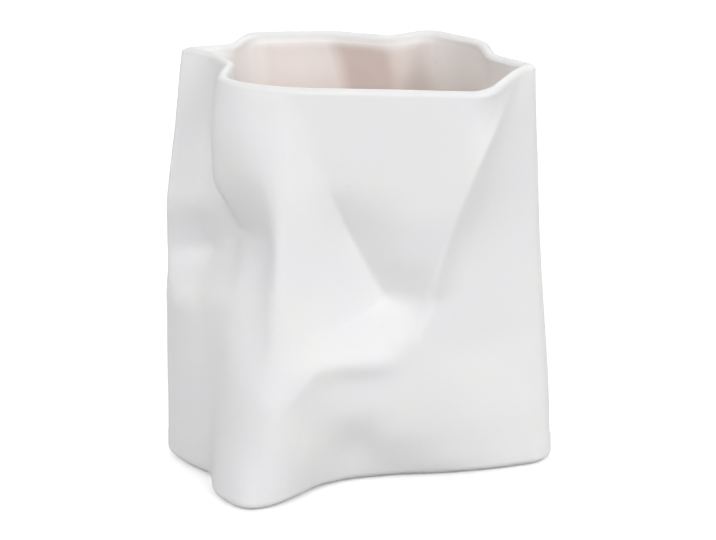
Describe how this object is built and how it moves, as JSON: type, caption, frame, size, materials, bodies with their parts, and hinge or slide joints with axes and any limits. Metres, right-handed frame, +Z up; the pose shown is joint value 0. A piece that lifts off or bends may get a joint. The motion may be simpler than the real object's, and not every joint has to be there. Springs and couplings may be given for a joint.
{
  "type": "vase",
  "caption": "Cast porcelain vase shaped like an opened, crumpled paper bag with a folded side, a twisted open mouth and a glazed inside.",
  "frame": {"origin": "on the ground plane under the middle of the vase's overall box", "axes": "+Z up, -Y towards the front panel with the large triangular fold, +X along the front panel to the right"},
  "size_m": [0.1698, 0.136, 0.19],
  "materials": {
    "porcelain": "unglazed satin white bisque",
    "glaze": "pale warm satin glaze"
  },
  "bodies": {
    "root": {"porcelain_bag": "porcelain", "glaze_lining": "glaze"}
  },
  "joints": []
}
